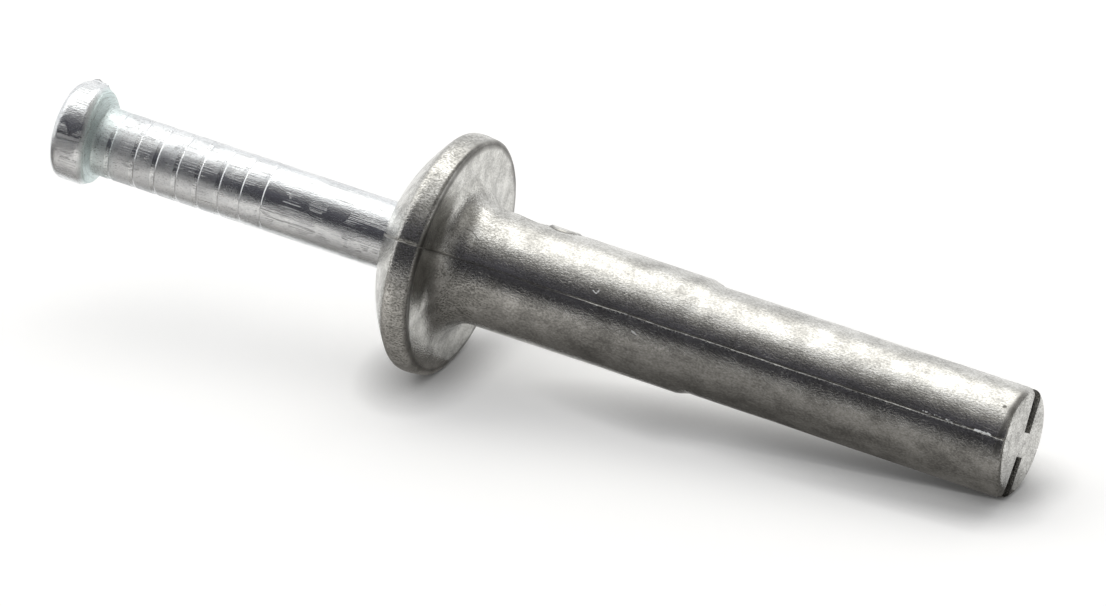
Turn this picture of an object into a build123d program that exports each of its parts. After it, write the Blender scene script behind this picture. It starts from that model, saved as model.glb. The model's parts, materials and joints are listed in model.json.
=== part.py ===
from build123d import *
from math import asin, atan2, cos, degrees, hypot, radians, sin, sqrt, tan
import os

# Hammer drive anchor for a 1/4 inch hole, 1-1/4 inches under the head: a die-cast zinc
# body with a mushroom head and a split shank, and a plated steel drive nail standing
# part-driven in its bore. It lies on a level floor, on the rim of its flange and on the
# edge of its tip.
#
# Millimetres and degrees. Each piece is drawn about its own axis first: z = 0 is the
# bearing face under the flange, +Z points to the tip, the parting seams run down the
# shank at +X and -X, and the slots open at +Y and -Y. The two are then laid down as one.

# ---------------------------------------------------------------- anchor body
flange_diameter = 12.7
dome_radius = 9.23             # spherical top of the mushroom head
rim_round = 0.96               # rounding between the dome and the bearing face
rim_edge = 0.53                # the rounding ends this far inside the flange's edge
neck_fillet = 1.6

upper_shank_diameter = 6.1
upper_shank_length = 13.25     # bearing face to the step
step_length = 0.6
lower_shank_width = 5.75       # across the slots, just past the step
tip_diameter = 5.86            # the shank is round again where the tip's chamfer starts
tip_chamfer = 0.35
body_length = 31.6             # bearing face to the end face
end_wall = 1.2                 # metal left between the bore and the end face

slot_width = 0.8               # at the web, where the slot is narrowest
slot_draft = 2.5               # each side of the slot opens outward by this angle
slot_lead = 0.45               # start of the step to the start of the slots
web_width = 1.3                # metal left between the two slots, at the axis

bore_clearance = 0.1           # the bore's radius over the nail's
mouth_bevel = 0.25             # width of the bevel at the bore's mouth

ejector_diameter = 1.7         # round pad that the ejector pin leaves
ejector_height = 0.05          # how far the pad stands out of the shank
ejector_place = 4.9            # bearing face to the middle of the pad
hollow_radius = 1.5            # ball-shaped hollow between the neck and the pad
hollow_depth = 0.36
hollow_place = 3.2             # bearing face to the deepest point

# ---------------------------------------------------------------- drive nail
nail_diameter = 3.58
nail_rest_gap = 0.03           # left under the nail, which lies low in its bore
drive_stroke = 16.85           # how far the nail still has to be driven
seat_gap = 0.2                 # left between the driven nail's collar and the bevel
point_gap = 0.2                # left in front of the driven nail's point
point_length = 1.8
point_flat = 0.8               # diameter of the blunt end of the point

head_diameter = 5.24
head_thickness = 1.25
head_crown = 0.1               # the middle of the top stands this much over its edge
head_top_round = 0.5           # rounding of the rim's struck edge
head_low_bevel = 0.2           # bevel of the rim's lower edge
head_offset = 0.1              # the head was upset this far off the nail's axis
collar_diameter = 4.84         # shoulder right under the head
collar_shoulder = 0.3          # length of the shoulder
collar_cone = 0.6              # length of the cone from the shoulder to the shank
collar_blend = 0.5             # rounding at both ends of the cone

ring_count = 8                 # shallow grooves that the heading grips leave
ring_pitch = 1.213
ring_first = 0.96              # end of the cone to the deepest line of the first groove
ring_apart = 0.2               # the first groove stands this much further off
ring_depth = 0.035
ring_lead = 0.22               # width of a groove's gentle wall, on the head's side
ring_rise = 0.08               # width of its steep wall, on the point's side

# ---------------------------------------------------------------- how it lies
seam_roll = 30.5               # near seam's angle above the level, about the axis


# ---------------------------------------------------------------- values that follow
flange_radius = flange_diameter / 2
rim_centre_radius = flange_radius - rim_round
crease_radius = flange_radius - rim_edge     # where the rounding meets the bearing face
rim_height = sqrt(rim_round ** 2 - (rim_round - rim_edge) ** 2)   # face to widest ring
dome_centre = sqrt((dome_radius - rim_round) ** 2 - rim_centre_radius ** 2) - rim_height

upper_radius = upper_shank_diameter / 2
slot_side_radius = lower_shank_width / 2
tip_radius = tip_diameter / 2
step_end = upper_shank_length + step_length
slot_start = upper_shank_length + slot_lead

nail_radius = nail_diameter / 2
nail_drop = bore_clearance - nail_rest_gap
bore_radius = nail_radius + bore_clearance
collar_radius = collar_diameter / 2
collar_slope = (collar_radius - nail_radius) / collar_cone
bore_end = body_length - end_wall
bore_shoulder = bore_end - point_length


def dome_height(radius):
    """z of the dome at a distance from the axis; the dome bulges towards -Z."""
    return dome_centre - sqrt(dome_radius ** 2 - radius ** 2)


mouth_radius = bore_radius + mouth_bevel
mouth_top = dome_height(mouth_radius)
mouth_bottom = mouth_top + mouth_bevel / collar_slope

# The nail is fully driven when its collar is seat_gap from the bevel of the mouth, and
# it stands out of the body by drive_stroke at rest.
collar_end_driven = mouth_bottom + nail_rest_gap / collar_slope - seat_gap
collar_end = collar_end_driven - drive_stroke
shoulder_end = collar_end - collar_cone
head_underside = shoulder_end - collar_shoulder
head_top = head_underside - head_thickness
point_end = bore_end - point_gap - drive_stroke
point_start = point_end - point_length

# The floor touches the rim's rounding and the corner where the tip's chamfer starts.
tip_corner = body_length - tip_chamfer
reach = tip_corner + rim_height
drop = rim_centre_radius - tip_radius
lying_tilt = degrees(atan2(drop, reach) + asin(rim_round / hypot(reach, drop)))


# ---------------------------------------------------------------- anchor body
def turned(outline):
    """Turn an outline, drawn in (radius, z), about the axis."""
    return revolve(Plane.XZ * make_face(outline), Axis.Z)


def body_top():
    """Dome, rim, bearing face, neck and upper shank, without the bore."""
    rim_from = -degrees(atan2(dome_centre + rim_height, rim_centre_radius))
    rim_to = degrees(asin(rim_height / rim_round))
    rim = CenterArc((rim_centre_radius, -rim_height), rim_round, rim_from, rim_to - rim_from)
    dome = CenterArc((0, dome_centre), dome_radius, -90, rim_from + 90)
    neck_start = upper_radius + neck_fillet
    neck = CenterArc((neck_start, neck_fillet), neck_fillet, -90, -90)
    shank = Polyline(
        (upper_radius, neck_fillet),
        (upper_radius, upper_shank_length),
        (0, upper_shank_length),
        (0, dome_centre - dome_radius),
    )
    bearing = Line((crease_radius, 0), (neck_start, 0))
    return turned([dome, rim, bearing, neck, shank])


def lower_shank():
    """The step and the shank below it, without the slots.

    The step narrows the shank across the slots only. It fades out towards the seams,
    and the shank runs from that oval to the round tip.
    """
    round_start = Pos(0, 0, upper_shank_length) * Circle(upper_radius)
    oval = Pos(0, 0, step_end) * Ellipse(upper_radius, slot_side_radius)
    round_end = Pos(0, 0, tip_corner) * Circle(tip_radius)
    tip = Polyline(
        (0, tip_corner),
        (tip_radius, tip_corner),
        (tip_radius - tip_chamfer, body_length),
        (0, body_length),
        (0, tip_corner),
    )
    step = loft([round_start, oval], ruled=True)
    legs = loft([oval, round_end], ruled=True)
    return step + legs + turned(tip)


def bore():
    """The nail's bore: bevelled mouth, straight run and a conical blind end."""
    above = dome_centre - dome_radius - mouth_bevel
    outline = Polyline(
        (0, above),
        (mouth_radius + (mouth_top - above) * collar_slope, above),
        (bore_radius, mouth_bottom),
        (bore_radius, bore_shoulder),
        (point_flat / 2 + bore_clearance, bore_end),
        (0, bore_end),
        (0, above),
    )
    return turned(outline)


def slot(side):
    """The cut that one blade of the die leaves, from the web out through the shank."""
    inner = web_width / 2
    outer = flange_radius
    half_inner = slot_width / 2
    half_outer = half_inner + (outer - inner) * tan(radians(slot_draft))
    blade = Polyline(
        (-half_inner, side * inner),
        (half_inner, side * inner),
        (half_outer, side * outer),
        (-half_outer, side * outer),
        (-half_inner, side * inner),
    )
    return Pos(0, 0, slot_start) * extrude(make_face(blade), body_length)


def ejector_pad():
    """Low round pad on the shank, curved with it, on the -Y side."""
    facing = Plane((0, 0, ejector_place), x_dir=(1, 0, 0), z_dir=(0, -1, 0))
    pin = extrude(facing * Circle(ejector_diameter / 2), flange_radius)
    raised = Cylinder(upper_radius + ejector_height, 2 * ejector_place)
    return pin & (Pos(0, 0, ejector_place) * raised)


def ejector_hollow():
    """Ball that scoops the hollow beside the pad out of the shank."""
    centre = upper_radius - hollow_depth + hollow_radius
    return Pos(0, -centre, hollow_place) * Sphere(hollow_radius)


def make_anchor_body():
    body = body_top() + lower_shank()
    body = body - ejector_hollow() + ejector_pad()
    body = body - slot(1) - slot(-1)
    return body - bore()


# ---------------------------------------------------------------- drive nail
def groove(number):
    """Start, deepest line and end of one groove in the nail's outline."""
    apart = ring_apart if number else 0
    deepest = collar_end + ring_first + apart + number * ring_pitch
    return [
        (nail_radius, deepest - ring_lead),
        (nail_radius - ring_depth, deepest),
        (nail_radius, deepest + ring_rise),
    ]


def nail_shank():
    """Rounded collar, grooved shank and blunt point."""
    inside_head = head_underside - head_thickness / 2
    grooves = [corner for number in range(ring_count) for corner in groove(number)]
    collar = FilletPolyline(
        (collar_radius, inside_head),
        (collar_radius, shoulder_end),
        (nail_radius, collar_end),
        grooves[0],
        radius=collar_blend,
    )
    shank = Polyline(
        *grooves,
        (nail_radius, point_start),
        (point_flat / 2, point_end),
        (0, point_end),
        (0, inside_head),
        (collar_radius, inside_head),
    )
    return turned([collar, shank])


def nail_head():
    """Upset head: crowned top, rounded struck edge and bevelled lower edge."""
    radius = head_diameter / 2
    top_edge = radius - head_top_round
    top = CenterArc((top_edge, head_top + head_top_round), head_top_round, -90, 90)
    crown = ThreePointArc(
        (-top_edge, head_top), (0, head_top - head_crown), (top_edge, head_top)
    ).trim(0.5, 1)
    low = Polyline(
        (radius, head_top + head_top_round),
        (radius, head_underside - head_low_bevel),
        (radius - head_low_bevel, head_underside),
        (0, head_underside),
        (0, head_top - head_crown),
    )
    return Pos(0, -head_offset, 0) * turned([top, crown, low])


def make_drive_nail():
    """The whole nail, lowered to where it lies in the bore."""
    down_x = -sin(radians(seam_roll))
    down_y = cos(radians(seam_roll))
    return Pos(nail_drop * down_x, nail_drop * down_y, 0) * (nail_shank() + nail_head())


# ---------------------------------------------------------------- laid on the floor
axis_x = cos(radians(lying_tilt))
axis_z = -sin(radians(lying_tilt))
drive_axis = (axis_x, 0, axis_z)
seam_side = (
    -sin(radians(seam_roll)) * axis_z,
    -cos(radians(seam_roll)),
    sin(radians(seam_roll)) * axis_x,
)
face_height = rim_round + rim_centre_radius * axis_x + rim_height * axis_z


def lying_plane(x_shift):
    """Plane of the bearing face: z_dir to the tip, x_dir to the near seam."""
    return Plane((x_shift, 0, face_height), x_dir=seam_side, z_dir=drive_axis)


def lay_down(pieces):
    """Lie the pieces on the floor with the middle of their length at x = 0."""
    flat = lying_plane(0).location
    spans = [piece.moved(flat).bounding_box() for piece in pieces.values()]
    low = min(span.min.X for span in spans)
    high = max(span.max.X for span in spans)
    place = lying_plane(-(low + high) / 2).location
    return {node: piece.moved(place) for node, piece in pieces.items()}, place


def main():
    drawn = {"anchor_body": make_anchor_body(), "drive_nail": make_drive_nail()}
    placed, place = lay_down(drawn)
    os.makedirs("parts", exist_ok=True)
    for node, piece in placed.items():
        export_step(piece, f"parts/{node}.step")
    return placed, place


laid_pieces, lying_place = main()
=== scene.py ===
"""Dresses the packed hammer drive anchor: a die-cast zinc body and a plated steel nail.

Lengths are metres and angles radians. Each piece is drawn about the anchor's own axis:
z = 0 is the bearing face under the flange, +Z points to the tip, the parting seams lie at
+X and -X, and the slots open at +Y and -Y. It is then laid down where the packed part lies.
"""
import json
import math

import bpy
import numpy as np
from bpy.props import FloatProperty, FloatVectorProperty, IntProperty, PointerProperty
from bpy.types import Operator, Panel, PropertyGroup
from mathutils import Matrix, Vector, noise


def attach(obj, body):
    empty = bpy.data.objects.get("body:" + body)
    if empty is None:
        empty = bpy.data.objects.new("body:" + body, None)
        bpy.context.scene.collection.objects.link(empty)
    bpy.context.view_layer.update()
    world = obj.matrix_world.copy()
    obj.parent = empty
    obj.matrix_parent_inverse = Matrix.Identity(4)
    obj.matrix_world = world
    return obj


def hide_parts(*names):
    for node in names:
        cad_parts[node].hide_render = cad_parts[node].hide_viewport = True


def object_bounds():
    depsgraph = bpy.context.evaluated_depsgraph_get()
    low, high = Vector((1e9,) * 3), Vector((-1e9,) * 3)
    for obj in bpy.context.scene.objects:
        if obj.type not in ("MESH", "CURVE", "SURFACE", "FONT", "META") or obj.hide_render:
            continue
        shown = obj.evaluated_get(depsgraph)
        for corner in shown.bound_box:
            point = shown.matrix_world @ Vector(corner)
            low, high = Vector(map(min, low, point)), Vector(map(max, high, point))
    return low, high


bl_info = {
    "name": "Hammer Drive Anchor",
    "version": (1, 0, 0),
    "blender": (4, 5, 0),
    "location": "View3D > Sidebar > Drive Anchor",
    "description": "Builds a die-cast hammer drive anchor with its nail part-driven",
    "category": "Object",
}

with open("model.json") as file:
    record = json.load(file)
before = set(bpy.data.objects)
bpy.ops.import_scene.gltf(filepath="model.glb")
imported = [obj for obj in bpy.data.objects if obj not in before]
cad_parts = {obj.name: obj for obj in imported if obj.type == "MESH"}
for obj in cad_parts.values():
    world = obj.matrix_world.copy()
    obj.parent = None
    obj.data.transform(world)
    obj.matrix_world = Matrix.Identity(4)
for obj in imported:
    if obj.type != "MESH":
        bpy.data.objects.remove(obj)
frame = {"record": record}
cad_low, cad_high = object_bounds()

MM = 0.001


# ------------------------------------------------------------------ sizes and colours
def length(name, description, millimetres):
    """A length property, with its default given in millimetres."""
    return FloatProperty(
        name=name,
        description=description,
        default=millimetres * MM,
        unit="LENGTH",
        precision=5,
    )


def colour(name, description, value):
    """A colour property, with no alpha."""
    return FloatVectorProperty(
        name=name, description=description, default=value, subtype="COLOR", min=0, max=1
    )


def share(name, description, value):
    """A number from 0 to 1."""
    return FloatProperty(
        name=name, description=description, default=value, subtype="FACTOR", min=0, max=1
    )


class BodySizes(PropertyGroup):
    """Sizes of the die-cast body."""

    flange_radius: length("Flange radius", "Widest part of the mushroom head", 6.35)
    dome_radius: length("Dome radius", "Spherical top of the mushroom head", 9.23)
    rim_round: length("Rim rounding", "Between the dome and the bearing face", 0.96)
    rim_edge: length("Rim edge", "The rounding ends this far inside the flange", 0.53)
    band_edge: length("Band edge", "Rounding between the dome and the rim's band", 0.45)
    band_foot: length("Band foot", "Rounding between the band and the crease", 0.24)
    band_draft: length("Band draft", "The band narrows by this towards the crease", 0.09)
    crease_radius: length("Crease radius", "Line where the two die halves met", 5.94)
    neck_fillet: length("Neck fillet", "Between the bearing face and the shank", 1.6)
    upper_radius: length("Upper shank radius", "Shank above the step", 3.05)
    upper_length: length("Upper shank length", "Bearing face to the step", 13.25)
    step_length: length("Step length", "Slope between the two shank sizes", 0.6)
    slot_side_radius: length("Slot side radius", "Past the step, across the slots", 2.875)
    tip_radius: length("Tip radius", "The shank is round again at its tip", 2.93)
    tip_round: length("Tip rounding", "Worn edge round the end face", 0.42)
    body_length: length("Body length", "Bearing face to the end face", 31.6)
    bore_radius: length("Bore radius", "Hole that the nail slides in", 1.89)
    bore_end: length("Bore end", "Bearing face to the bottom of the bore", 30.4)
    bore_point: length("Bore point", "Length of the cone at the bore's bottom", 1.8)
    bore_flat: length("Bore flat", "Radius of the bore's flat bottom", 0.5)
    mouth_bevel: length("Mouth bevel", "Width of the bevel at the bore's mouth", 0.25)
    mouth_depth: length("Mouth depth", "Height of the bevel at the bore's mouth", 0.238)
    slot_start: length("Slot start", "Bearing face to the start of the slots", 13.7)
    slot_half_width: length("Slot half width", "At the web, where it is narrowest", 0.4)
    web_half_width: length("Web half width", "Metal from the axis to each slot", 0.65)


class NailSizes(PropertyGroup):
    """Sizes of the drive nail, which stands part-driven."""

    radius: length("Nail radius", "Plain shank", 1.79)
    drop: length("Drop", "How far the nail lies below the bore's axis", 0.07)
    collar_end: length("Collar end", "Bearing face to the collar's cone", -20.348)
    collar_cone: length("Collar cone", "Length of the cone under the head", 0.6)
    collar_radius: length("Collar radius", "Shoulder right under the head", 2.42)
    collar_shoulder: length("Collar shoulder", "Length of that shoulder", 0.3)
    collar_blend: length("Collar blend", "Rounding at both ends of the cone", 0.5)
    head_radius: length("Head radius", "Rim of the head", 2.62)
    head_thickness: length("Head thickness", "Top to underside of the head", 1.25)
    head_crown: length("Head crown", "The top's middle stands out by this", 0.1)
    head_top_round: length("Head top rounding", "Rounding of the struck edge", 0.5)
    head_low_bevel: length("Head low bevel", "Lower edge of the head", 0.2)
    head_offset: length("Head offset", "The head sits this far off the axis", 0.1)
    head_press: length("Head press", "One side of the underside is pressed down by this", 0.65)
    point_end: length("Point end", "Bearing face to the nail's point", 13.35)
    point_length: length("Point length", "Length of the cone of the point", 1.8)
    point_flat: length("Point flat", "Radius of the blunt end", 0.4)
    ring_count: IntProperty(name="Rings", description="Grooves left by the grips", default=8)
    ring_first: length("First ring", "End of the cone to the first groove", 0.96)
    ring_apart: length("First gap", "Extra room behind the first groove", 0.2)
    ring_pitch: length("Ring pitch", "From one groove to the next", 1.213)
    ring_depth: length("Ring depth", "Depth of a groove", 0.035)
    ring_lead: length("Ring lead", "Gentle wall of a groove", 0.22)
    ring_rise: length("Ring rise", "Steep wall of a groove", 0.08)


class CastMarks(PropertyGroup):
    """What the die leaves on the casting."""

    seam_depth: length("Seam depth", "Groove along the parting line", 0.03)
    seam_ridge: length("Seam ridge", "Flash beside that groove", 0.008)
    seam_width: length("Seam width", "Half the width of the groove", 0.035)
    seam_wander: length("Seam wander", "How far the parting line strays", 0.05)
    crease_depth: length("Crease depth", "Line round the bearing face", 0.035)
    crease_width: length("Crease width", "Half the width of that line", 0.09)
    pad_radius: length("Pad radius", "Mark of the ejector pin", 0.85)
    pad_height: length("Pad height", "How far the mark stands out", 0.05)
    pad_place: length("Pad place", "Bearing face to the middle of the mark", 4.9)
    hollow_radius: length("Hollow radius", "Ball-shaped hollow beside the mark", 1.5)
    hollow_depth: length("Hollow depth", "Depth of that hollow", 0.36)
    hollow_place: length("Hollow place", "Bearing face to the hollow", 3.2)
    swell: length("Swell", "Height of the slow waves in the skin", 0.018)
    ripple: length("Ripple", "Height of the quick waves in the skin", 0.006)


class Finishes(PropertyGroup):
    """Colours of the two metals and of the stage."""

    zinc_dark: colour("Cast zinc, dull", "Dull patches of the casting", (0.385, 0.38, 0.361))
    zinc_light: colour("Cast zinc, bright", "Bright patches", (0.70, 0.695, 0.665))
    plate_dark: colour("Plating, dull", "Dull patches of the plating", (0.68, 0.70, 0.72))
    plate_light: colour("Plating, bright", "Bright patches", (0.84, 0.86, 0.875))
    plate_tint: colour("Plating, tinted", "Greenish film round the collar", (0.76, 0.88, 0.87))
    # Also the colour of painted shade: the body's bore, slots, widened crease line and tip's near edge
    # are darkened with it.
    grime_and_painted_shade: colour("Grime", "What lies in seams and pits", (0.07, 0.065, 0.06))
    floor: colour("Floor", "Pale table top", (0.90, 0.90, 0.90))


# ------------------------------------------------------------------ where things lie
def mount(name):
    """A mount of the packed record, by name."""
    return next(m for m in frame["record"]["mounts"] if m["name"] == name)


def lying_matrix():
    """From the anchor's own axes to where the packed part lies."""
    shank = mount("shank")
    face_point = Vector(mount("bearing_face")["pos_m"])
    middle = Vector(shank["pos_m"])
    tip_way = Vector(shank["axis"]).normalized()
    origin = middle + tip_way * (face_point - middle).dot(tip_way)
    seam_way = (face_point - origin).normalized()
    slot_way = tip_way.cross(seam_way)
    matrix = Matrix((seam_way, slot_way, tip_way)).transposed().to_4x4()
    matrix.translation = origin
    return matrix


LYING = lying_matrix()


# ------------------------------------------------------------------ outlines
def divided(points, step):
    """The outline's points, with more between them so that none are over step apart."""
    made = [points[0]]
    for start, end in zip(points[:-1], points[1:]):
        pieces = max(1, math.ceil(math.dist(start, end) / step))
        for count in range(1, pieces + 1):
            part = count / pieces
            made.append(tuple(a + (b - a) * part for a, b in zip(start, end)))
    return made


def arc(centre, radius, start, end, step):
    """Points along an arc, from one angle to another."""
    pieces = max(2, math.ceil(abs(end - start) * radius / step))
    angles = [start + (end - start) * count / pieces for count in range(pieces + 1)]
    return [(centre[0] + radius * math.cos(a), centre[1] + radius * math.sin(a)) for a in angles]


def rounded(corners, step):
    """An outline through corners given as (radius, z, rounding)."""
    made = [corners[0][:2]]
    for before, corner, after in zip(corners[:-2], corners[1:-1], corners[2:]):
        point = Vector(corner[:2])
        back = (Vector(before[:2]) - point).normalized()
        ahead = (Vector(after[:2]) - point).normalized()
        half = back.angle(ahead) / 2
        if corner[2] == 0 or half > math.radians(89.9):
            made.append(tuple(point))
            continue
        reach = corner[2] / math.tan(half)
        centre = point + (back + ahead).normalized() * (corner[2] / math.sin(half))
        first = point + back * reach - centre
        last = point + ahead * reach - centre
        start = math.atan2(first.y, first.x)
        turn = (math.atan2(last.y, last.x) - start + math.pi) % math.tau - math.pi
        made += arc(centre, corner[2], start, start + turn, step)
    made.append(corners[-1][:2])
    return made


def lathe(outline, angles, relief=None):
    """Vertices and faces of an outline turned about Z.

    The outline starts and ends on the axis, with the metal on its left. relief gives
    how far each vertex of the (rows x angles) grid stands out along its normal.
    """
    points = np.array(outline)
    ways = np.gradient(points, axis=0)
    ways /= np.maximum(np.linalg.norm(ways, axis=1, keepdims=True), 1e-12)
    radius, height = points[1:-1, 0][:, None], points[1:-1, 1][:, None]
    out_radius, out_height = ways[1:-1, 1][:, None], -ways[1:-1, 0][:, None]
    turn = np.array(angles)[None, :]
    grid = np.stack(
        [radius * np.cos(turn), radius * np.sin(turn), height + 0 * turn], axis=-1
    )
    if relief is not None:
        lift = relief(grid)
        grid = grid + lift[..., None] * np.stack(
            [out_radius * np.cos(turn), out_radius * np.sin(turn), out_height + 0 * turn],
            axis=-1,
        )
    rows, columns = grid.shape[:2]
    vertices = grid.reshape(-1, 3)
    row, column = np.meshgrid(np.arange(rows - 1), np.arange(columns), indexing="ij")
    following = (column + 1) % columns
    quads = np.stack(
        [
            row * columns + column,
            row * columns + following,
            (row + 1) * columns + following,
            (row + 1) * columns + column,
        ],
        axis=-1,
    ).reshape(-1, 4)
    first_pole = len(vertices)
    last_pole = first_pole + 1
    poles = np.array([(0, 0, points[0, 1]), (0, 0, points[-1, 1])])
    last_row = (rows - 1) * columns
    faces = quads.tolist()
    for this in range(columns):
        after = (this + 1) % columns
        faces.append([first_pole, after, this])
        faces.append([last_row + this, last_row + after, last_pole])
    return np.vstack([vertices, poles]), faces


def add_piece(name, vertices, faces):
    """A new mesh object from vertices and faces."""
    mesh = bpy.data.meshes.new(name)
    mesh.from_pydata([tuple(v) for v in vertices], [], faces)
    mesh.validate()
    piece = bpy.data.objects.new(name, mesh)
    bpy.context.scene.collection.objects.link(piece)
    return piece


def local_points(mesh):
    """The mesh's vertices as an array."""
    points = np.zeros(len(mesh.vertices) * 3)
    mesh.vertices.foreach_get("co", points)
    return points.reshape(-1, 3)


def stamp(mesh, name, values):
    """Keep a number from 0 to 1 at each vertex, for the material to read."""
    layer = mesh.attributes.new(name, "FLOAT", "POINT")
    layer.data.foreach_set("value", np.clip(values, 0, 1).astype(np.float32))


def smooth(piece, sharp_angle):
    """Smooth shading, with edges sharper than the angle left sharp."""
    piece.data.shade_smooth()
    piece.data.set_sharp_from_angle(angle=sharp_angle)


def waves(points, size, stretch, seed):
    """Smooth noise from -1 to 1 at each point, longer along Z by stretch."""
    scaled = points / (size, size, size * stretch) + seed
    return np.array([noise.noise(Vector(p)) for p in scaled.reshape(-1, 3)]).reshape(
        points.shape[:-1]
    )


def bump(distance, width):
    """A smooth hump, 1 at no distance and near 0 past twice the width."""
    return np.exp(-((distance / width) ** 2))


def rise(value, start, end):
    """0 before start and 1 after end, smooth between."""
    part = np.clip((value - start) / (end - start), 0, 1)
    return part * part * (3 - 2 * part)


def turn_from(points, angle):
    """Angle of each point about Z, measured from the given one, within half a turn."""
    turned = np.arctan2(points[..., 1], points[..., 0]) - angle
    return (turned + np.pi) % (2 * np.pi) - np.pi


# ------------------------------------------------------------------ the body's shape
def dome_centre(s):
    """z of the centre of the dome's sphere."""
    rim_radius = s.flange_radius - s.rim_round
    return math.sqrt((s.dome_radius - s.rim_round) ** 2 - rim_radius ** 2) - rim_height(s)


def rim_height(s):
    """Bearing face to the widest ring of the rim."""
    return math.sqrt(s.rim_round ** 2 - (s.rim_round - s.rim_edge) ** 2)


def body_outline(s):
    """Section of the body, from the bottom of the bore round to the end face."""
    fine, coarse = 0.12 * MM, 0.2 * MM
    edge = 0.05 * MM
    centre = dome_centre(s)
    mouth_radius = s.bore_radius + s.mouth_bevel
    mouth_top = centre - math.sqrt(s.dome_radius ** 2 - mouth_radius ** 2)
    bore = rounded(
        [
            (0, s.bore_end, 0),
            (s.bore_flat, s.bore_end, 0),
            (s.bore_radius, s.bore_end - s.bore_point, 0),
            (s.bore_radius, mouth_top + s.mouth_depth, edge),
            (mouth_radius, mouth_top, 0),
        ],
        edge / 2,
    )
    band_radius = s.flange_radius - 0.05 * MM
    band_top = centre - math.sqrt(s.dome_radius ** 2 - band_radius ** 2)
    dome_start = -math.acos(mouth_radius / s.dome_radius)
    dome_stop = math.asin((band_top - centre) / s.dome_radius) - 0.04
    dome = arc((0, centre), s.dome_radius, dome_start, dome_stop, coarse)
    rim = rounded(
        [
            dome[-1] + (0,),
            (band_radius, band_top, s.band_edge),
            (s.flange_radius, -0.95 * MM, 1.5 * MM),
            (s.flange_radius - s.band_draft, -0.12 * MM, s.band_foot),
            (s.crease_radius, 0, 0),
        ],
        fine / 3,
    )
    rim = divided(rim, fine)
    shank = rounded(
        [
            (s.crease_radius, 0, 0),
            (s.crease_radius - 0.4 * MM, 0, 0),
            (s.upper_radius, 0, s.neck_fillet),
            (s.upper_radius, s.upper_length + s.step_length, 9 * MM),
            (s.tip_radius, s.body_length, s.tip_round),
            (0, s.body_length, 0),
        ],
        fine / 2,
    )
    crease = divided(shank[:2], fine / 3)
    return divided(bore[:-1], 0.6 * MM) + dome + rim[1:-1] + crease + divided(shank[2:], coarse)


def body_angles():
    """Columns of the body: close together at both seams and round the ejector's mark."""
    seam = [0, 0.25, 0.5, 0.75, 1.05, 1.4, 1.9, 2.6]
    mark = [-90 + step for step in range(-20, 21)]
    degrees = set()
    for middle in (0, 180):
        degrees |= {middle + side * offset for side in (1, -1) for offset in seam}
    degrees |= {d % 360 for d in mark}
    for angle in range(0, 360, 2):
        if min(abs((angle - d + 180) % 360 - 180) for d in degrees) >= 0.9:
            degrees.add(angle)
    return sorted(math.radians(d % 360) for d in degrees)


def seam_distance(points, marks):
    """Distance of each point round the axis from the nearer parting line, signed.

    It is positive on the +Y side of the +X seam and on the -Y side of the other.
    """
    radius = np.hypot(points[..., 0], points[..., 1])
    stray = marks.seam_wander * waves(points * (0, 0, 1), 2.4 * MM, 1, 3.1)
    stray = stray + 0.4 * marks.seam_wander * waves(points * (0, 0, 1), 0.5 * MM, 1, 7.7)
    near = turn_from(points, 0) * radius - stray
    far = turn_from(points, math.pi) * radius + stray
    return np.where(np.abs(near) < np.abs(far), near, far)


def hollow_relief(points, s, marks):
    """The ball-shaped hollow, as a distance inwards from the shank."""
    centre = Vector((0, -(s.upper_radius - marks.hollow_depth + marks.hollow_radius), marks.hollow_place))
    radius = np.hypot(points[..., 0], points[..., 1])
    away = points - np.array(centre)
    inward = -points * (1, 1, 0) / np.maximum(radius, 1e-9)[..., None]
    along = (away * inward).sum(-1)
    inside = marks.hollow_radius ** 2 - (away ** 2).sum(-1)
    reach = -along + np.sqrt(np.maximum(along ** 2 + inside, 0))
    on_shank = (points[..., 1] < 0) & (radius < s.upper_radius + s.neck_fillet)
    return np.where((inside > 0) & on_shank, -reach, 0)


def oval_relief(points, s):
    """The step, which narrows the shank across the slots only, fading out to the tip."""
    height = points[..., 2]
    step_end = s.upper_length + s.step_length
    past_step = rise(height, s.upper_length - 0.1 * MM, step_end + 0.1 * MM)
    fading = np.clip((s.body_length - height) / (s.body_length - step_end), 0, 1)
    radius = np.hypot(points[..., 0], points[..., 1])
    across = points[..., 1] / np.maximum(radius, 1e-9)
    on_side = rise(radius, 2.3 * MM, 2.7 * MM)
    return -(s.upper_radius - s.slot_side_radius) * past_step * fading * across ** 2 * on_side


def fuller_tip(points, s):
    """The end face's edge is less worn, and stands a little further out, at the +X seam."""
    radius = np.hypot(points[..., 0], points[..., 1])
    near = rise(points[..., 0], 0.6 * MM, 2.0 * MM) * rise(points[..., 1], -2.2 * MM, -1.0 * MM)
    from_edge = np.hypot(radius - s.tip_radius + 0.12 * MM, points[..., 2] - s.body_length + 0.12 * MM)
    edge = 0.1 * MM * bump(from_edge, 0.2 * MM)
    further = rise(points[..., 0], -0.5 * MM, 2.4 * MM) * rise(points[..., 1], -1.6 * MM, 0)
    on_face = rise(points[..., 2], s.body_length - 0.2 * MM, s.body_length - 0.05 * MM)
    lift = 0.12 + 0.09 * rise(points[..., 1], 0, 1.5 * MM)
    return edge * near + lift * MM * further * on_face


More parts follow.
